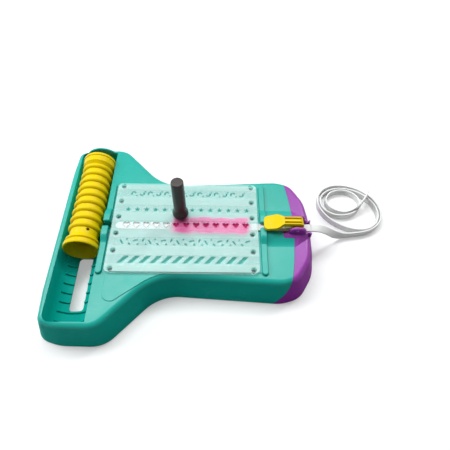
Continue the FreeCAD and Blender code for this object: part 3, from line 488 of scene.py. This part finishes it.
def makeSteel():
    # zinc-plated steel: fine turning marks round the axis, and dull patches
    look = steelLook
    material, tree, inputs = newMaterial("zincSteel", Metallic=1.0, IOR=2.0)
    where = addNode(tree, "TexCoord").outputs["Object"]
    touch = useGroup(tree, handling, Vector=where, Amount=look["wear"])
    marks = noise(tree, placeVector(tree, look["marks"]), 1.0, 2.0)
    feed(tree, inputs["Base Color"], mixed(tree, touch["Smudge"], hexColour(look["bright"]),
                                           hexColour(look["dull"])))
    worn = maths(tree, "ADD", marks, touch["Smudge"])
    feed(tree, inputs["Roughness"], ranged(tree, worn, 0.3, 1.6, *look["rough"]))
    bumped(tree, inputs, marks, look["bump"])
    return material


sheetLook = {"haze": "E2F6F4", "hazeDeep": "D6F0ED", "grain": 2600.0, "flow": 24.0, "wear": 0.9,
             "opacity": 0.30, "bandOpacity": 0.25, "scratchShare": 0.15, "edge": 0.3 * mm,
             "lanePitch": 20.36 * mm, "bandHalf": 4.7 * mm,  # clearer bands along the lanes
             "columnX": 70.0 * mm, "bossRadius": 2.7 * mm, "bossOpacity": 0.05,  # clear round each hole
             "wallLow": 35.55 * mm, "wallHigh": 36.8 * mm,  # between them, a face is a cut edge
             # painted shade: a grey colour and extra opacity on the dry cut edges over the strap, in
             # place of their shadow
             "paintedShadeWall": "8F9997", "paintedShadeCover": 0.55, "paintedShadeHalf": 4.8 * mm,
             "rough": (0.22, 0.42), "bump": 0.03 * mm}
film = {"left": -13.0 * mm, "right": 66.5 * mm, "half": 9.7 * mm, "fade": 3.2 * mm, "ragged": 1.3 * mm,
        "raggedGrain": (90, 260, 90), "streaks": (60, 700, 60), "ink": "EC78B2", "inkDeep": "E25FA3",
        # the inked cut edges are pink with ink, and are lightened past the film's own pink as painted
        # light against their shade
        "cover": 0.30, "inkWallPaintedLight": "FFB0DA", "wallCover": 0.25}


def clearMask(tree, axes):
    # the sheet's own opacity: less along the lanes, and nearly none round the holes at both ends
    look = sheetLook
    lane = maths(tree, "DIVIDE", axes[1], look["lanePitch"])
    nearest = maths(tree, "SUBTRACT", lane, maths(tree, "ROUND", lane))
    away = maths(tree, "MULTIPLY", maths(tree, "ABSOLUTE", nearest), look["lanePitch"])
    band = ranged(tree, away, look["bandHalf"], look["bandHalf"] + look["edge"], 1.0, 0.0)
    fromColumn = maths(tree, "SUBTRACT", maths(tree, "ABSOLUTE", axes[0]), look["columnX"])
    fromBoss = maths(tree, "SUBTRACT", away, look["lanePitch"] / 2)
    reach = maths(tree, "SQRT", maths(tree, "ADD", maths(tree, "MULTIPLY", fromColumn, fromColumn),
                                      maths(tree, "MULTIPLY", fromBoss, fromBoss)))
    boss = ranged(tree, reach, look["bossRadius"], look["bossRadius"] + look["edge"], 1.0, 0.0)
    clear = ranged(tree, band, 0.0, 1.0, look["opacity"], look["bandOpacity"])
    fall = maths(tree, "MULTIPLY", boss, maths(tree, "SUBTRACT", clear, look["bossOpacity"]))
    return maths(tree, "SUBTRACT", clear, fall)


def filmMask(tree, axes):
    # 1 inside the inked rectangle, with a ragged border that fades over the width given
    ragged = noise(tree, placeVector(tree, film["raggedGrain"]), 1.0, 3.0)
    wobble = ranged(tree, ragged, 0.3, 0.7, -film["ragged"], film["ragged"])
    fade = film["fade"]
    acrossEdge = maths(tree, "SUBTRACT", film["half"], maths(tree, "ABSOLUTE", axes[1]))
    across = ranged(tree, maths(tree, "ADD", acrossEdge, wobble), -fade / 2, fade / 2)
    leftEdge = maths(tree, "SUBTRACT", axes[0], film["left"])
    left = ranged(tree, maths(tree, "ADD", leftEdge, wobble), -fade, fade)
    rightEdge = maths(tree, "SUBTRACT", film["right"], axes[0])
    right = ranged(tree, maths(tree, "ADD", rightEdge, wobble), -fade, fade)
    return maths(tree, "MULTIPLY", across, maths(tree, "MULTIPLY", left, right))


def makeFrosted():
    # frosted sheet: hazy, part see-through, clearer along each lane, wet ink round the middle lane;
    # the cut edges over the strap carry a painted grey shade where dry, and pink ink lightened with
    # painted light where inked
    look = sheetLook
    material, tree, inputs = newMaterial("frostedPlate", IOR=1.49)
    where = addNode(tree, "TexCoord").outputs["Object"]
    axes = addNode(tree, "SeparateXYZ", {0: where}).outputs
    mould = useGroup(tree, mouldGrain, Vector=where, Grain=look["grain"], Flow=look["flow"])
    touch = useGroup(tree, handling, Vector=where, Amount=look["wear"])
    clear, inked = clearMask(tree, axes), filmMask(tree, axes)
    streaks = noise(tree, placeVector(tree, film["streaks"]), 1.0, 2.0)
    ink = mixed(tree, ranged(tree, streaks, 0.35, 0.65), hexColour(film["ink"]),
                hexColour(film["inkDeep"]))
    haze = mixed(tree, mould["Cloud"], hexColour(look["haze"]), hexColour(look["hazeDeep"]))
    cutWall = maths(tree, "MULTIPLY", maths(tree, "GREATER_THAN", axes[2], look["wallLow"]),
                    maths(tree, "LESS_THAN", axes[2], look["wallHigh"]))
    inkedWall = maths(tree, "MULTIPLY", inked, cutWall)
    overStrap = maths(tree, "LESS_THAN", maths(tree, "ABSOLUTE", axes[1]), look["paintedShadeHalf"])
    # painted shade: the dry cut edges over the strap are coloured grey and made more opaque, standing
    # in for their shadow
    paintedShadeWall = maths(tree, "MULTIPLY", maths(tree, "MULTIPLY", overStrap, cutWall),
                    maths(tree, "SUBTRACT", 1.0, inked))
    sheet = mixed(tree, paintedShadeWall, mixed(tree, inked, haze, ink), hexColour(look["paintedShadeWall"]))
    # painted light: the inked cut edges take a paler pink than the ink film, lifting their shade
    feed(tree, inputs["Base Color"], mixed(tree, inkedWall, sheet, hexColour(film["inkWallPaintedLight"])))
    scratched = maths(tree, "ADD", clear, maths(tree, "MULTIPLY", touch["Scratch"],
                                                look["scratchShare"]))
    tinted = maths(tree, "ADD", scratched, maths(tree, "MULTIPLY", inked, film["cover"]))
    cutEdges = maths(tree, "ADD", maths(tree, "MULTIPLY", inkedWall, film["wallCover"]),
                     maths(tree, "MULTIPLY", paintedShadeWall, look["paintedShadeCover"]))
    feed(tree, inputs["Alpha"], maths(tree, "ADD", tinted, cutEdges, clamp=True))
    smeared = maths(tree, "SUBTRACT", touch["Smudge"], inked)
    feed(tree, inputs["Roughness"], ranged(tree, smeared, -1.0, 1.0, *look["rough"]))
    bumped(tree, inputs, mould["Height"], look["bump"])
    return material


teal, purple, yellow, black = (makeMoulded(name) for name in moulds)
steel, rubber = makeSteel(), makeRubber()
finishes = {"top_shell": teal, "bottom_cover": teal, "end_cover": purple, "winding_roller": yellow,
            "clamp_lever": yellow, "dauber_barrel": black, "stencil_plate": makeFrosted()}
finishes.update({name: steel for name in ("lever_pin", "shell_screws", "cover_screws")})
finishes.update({"foot_%d" % k: rubber for k in range(1, 5)})
for name, material in finishes.items():
    slots = nodes[name].data.materials
    slots.clear()
    slots.append(material)
print("finishes on", len(finishes), "nodes")


# the dauber's foam pad

padSetup = {"x": -5.0 * mm, "y": 12.5 * mm, "radius": 6.3 * mm, "bottom": 37.2 * mm,
            "top": 45.3 * mm, "round": 1.3 * mm, "around": 72, "faceRings": 7, "roundRings": 9,
            "wallRings": 12, "swell": 0.1 * mm, "openHeight": 2.2 * mm, "dent": 0.03 * mm}
foamLook = {"pit": "A82566", "wet": "D83F8C", "wetLight": "E56CA8", "cells": 1400.0, "stain": 220.0,
            "rough": (0.45, 0.8), "bump": 0.3 * mm, "glow": 0.15, "glowDepth": 1.0 * mm}


def makeFoam():
    # ink-soaked foam: cells of a Voronoi texture as pits, darker in their depth
    look = foamLook
    material, tree, inputs = newMaterial("inkFoam", IOR=1.4, Subsurface_Weight=look["glow"],
                                         Subsurface_Scale=look["glowDepth"])
    where = addNode(tree, "TexCoord").outputs["Object"]
    cells = addNode(tree, "TexVoronoi", {"Vector": where, "Scale": look["cells"]}).outputs["Distance"]
    stain = noise(tree, where, look["stain"], 3.0)
    wet = mixed(tree, stain, hexColour(look["wet"]), hexColour(look["wetLight"]))
    feed(tree, inputs["Base Color"], mixed(tree, ranged(tree, cells, 0.1, 0.6),
                                           hexColour(look["pit"]), wet))
    feed(tree, inputs["Roughness"], ranged(tree, stain, 0.3, 0.7, *look["rough"]))
    bumped(tree, inputs, cells, look["bump"])
    return material


def foamPad(setup, material):
    # a turned outline, its open part swelling by a sine, with shallow dents round it
    arc = np.linspace(0, math.pi / 2, setup["roundRings"])
    faceRings, wallRings = setup["faceRings"], setup["wallRings"]
    flat, low = setup["radius"] - setup["round"], setup["bottom"] + setup["round"]
    radius = np.r_[np.linspace(0.02, 0.95, faceRings) * flat,
                   flat + setup["round"] * np.sin(arc),
                   np.full(wallRings, setup["radius"]),
                   setup["radius"] * np.linspace(0.98, 0.02, faceRings)]
    height = np.r_[np.full(faceRings, setup["bottom"]),
                   low - setup["round"] * np.cos(arc),
                   np.linspace(low + 0.2 * mm, setup["top"], wallRings),
                   np.full(faceRings, setup["top"])]
    turn = np.linspace(0, 2 * math.pi, setup["around"], endpoint=False)
    opened = np.clip((height - setup["bottom"]) / setup["openHeight"], 0, 1)
    swell = setup["swell"] * np.sin(opened * math.pi)
    dent = setup["dent"] * (np.sin(5 * turn) + np.sin(11 * turn + 1.0))
    outer = radius > setup["radius"] * 0.5
    r = (radius + swell)[:, None] + dent[None] * outer[:, None]
    points = np.stack([setup["x"] + r * np.cos(turn), setup["y"] + r * np.sin(turn),
                       np.broadcast_to(height[:, None], r.shape)], -1)
    return meshPiece("inkPad", points.reshape(-1, 3), tubeFaces(len(height), len(turn)), material)


inkPad = foamPad(padSetup, makeFoam())
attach(inkPad, "dauber")
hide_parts("dauber_sponge")
print("foam pad made")


# floor, lamps and surround

studio = {"floorSize": 6.0, "floorTone": 0.64, "floorToneLight": 0.68, "speckle": 300.0,
          "floorLift": 0.34, "farFrom": 0.5, "farTo": 1.3, "ambient": 0.18,
          "lamps": (  # name, place, width, depth, watts, colour
              ("keyLamp", (0.80, 0.80, 1.13), 0.32, 0.32, 7.5, (1.0, 0.98, 0.95)),
              ("leftLamp", (-1.05, 0.35, 0.80), 0.90, 0.50, 9.0, (1.0, 1.0, 1.0)),
              ("broadLamp", (-0.20, 0.46, 1.15), 1.40, 0.46, 14.5, (0.93, 0.98, 1.0)))}


def lightPathShare(tree):
    # 1 for what the camera sees directly, in a mirror or through glass
    path = addNode(tree, "LightPath").outputs
    seen = maths(tree, "ADD", path["Is Camera Ray"], path["Is Glossy Ray"])
    return maths(tree, "ADD", seen, path["Is Transmission Ray"], clamp=True)


def makeFloor(setup):
    # a pale floor, lifted by a glow that only what lightPathShare names can see
    material = bpy.data.materials.new("paleFloor")
    material.use_nodes = True
    tree = material.node_tree
    tree.nodes.remove(tree.nodes["Principled BSDF"])
    speckle = noise(tree, placeVector(tree), setup["speckle"], 2.0)
    tone = mixed(tree, speckle, (setup["floorTone"],) * 3 + (1,), (setup["floorToneLight"],) * 3 + (1,))
    matt = addNode(tree, "BsdfDiffuse", {"Color": tone})
    # the lift grows with the distance from the part, where the lamps' light fades
    away = addNode(tree, "VectorMath", {0: addNode(tree, "TexCoord").outputs["Object"]},
                   operation="LENGTH").outputs["Value"]
    raised = ranged(tree, away, setup["farFrom"], setup["farTo"], setup["floorLift"], 1.0)
    glow = maths(tree, "MULTIPLY", lightPathShare(tree), raised)
    lift = addNode(tree, "Emission", {"Strength": glow})
    both = addNode(tree, "AddShader", {0: matt.outputs[0], 1: lift.outputs[0]})
    tree.links.new(both.outputs[0], tree.nodes["Material Output"].inputs["Surface"])
    half = setup["floorSize"] / 2
    corners = [(-half, -half, 0), (half, -half, 0), (half, half, 0), (-half, half, 0)]
    meshPiece("floor", corners, [(0, 1, 2, 3)], material, smooth=False)


def makeSurround(setup):
    # an even dim room that is white where the camera looks past the floor
    world = bpy.data.worlds.new("softRoom")
    world.use_nodes = True
    tree = world.node_tree
    strength = ranged(tree, lightPathShare(tree), 0.0, 1.0, setup["ambient"], 1.0)
    feed(tree, tree.nodes["Background"].inputs["Strength"], strength)
    tree.nodes["Background"].inputs["Color"].default_value = (1, 1, 1, 1)
    bpy.context.scene.world = world


def makeLamps(setup):
    # oval lamps that face the part's origin
    for name, place, width, depth, watts, colour in setup["lamps"]:
        data = bpy.data.lights.new(name, "AREA")
        data.shape, data.size, data.size_y, data.energy = "ELLIPSE", width, depth, watts
        data.color = colour
        lamp = bpy.data.objects.new(name, data)
        turn = Vector(place).to_track_quat("Z", "Y").to_matrix().to_4x4()
        lamp.matrix_world = Matrix.Translation(place) @ turn
        bpy.context.scene.collection.objects.link(lamp)


makeFloor(studio)
makeSurround(studio)
makeLamps(studio)
bpy.context.scene.view_settings.view_transform = "Standard"
print("studio lit")
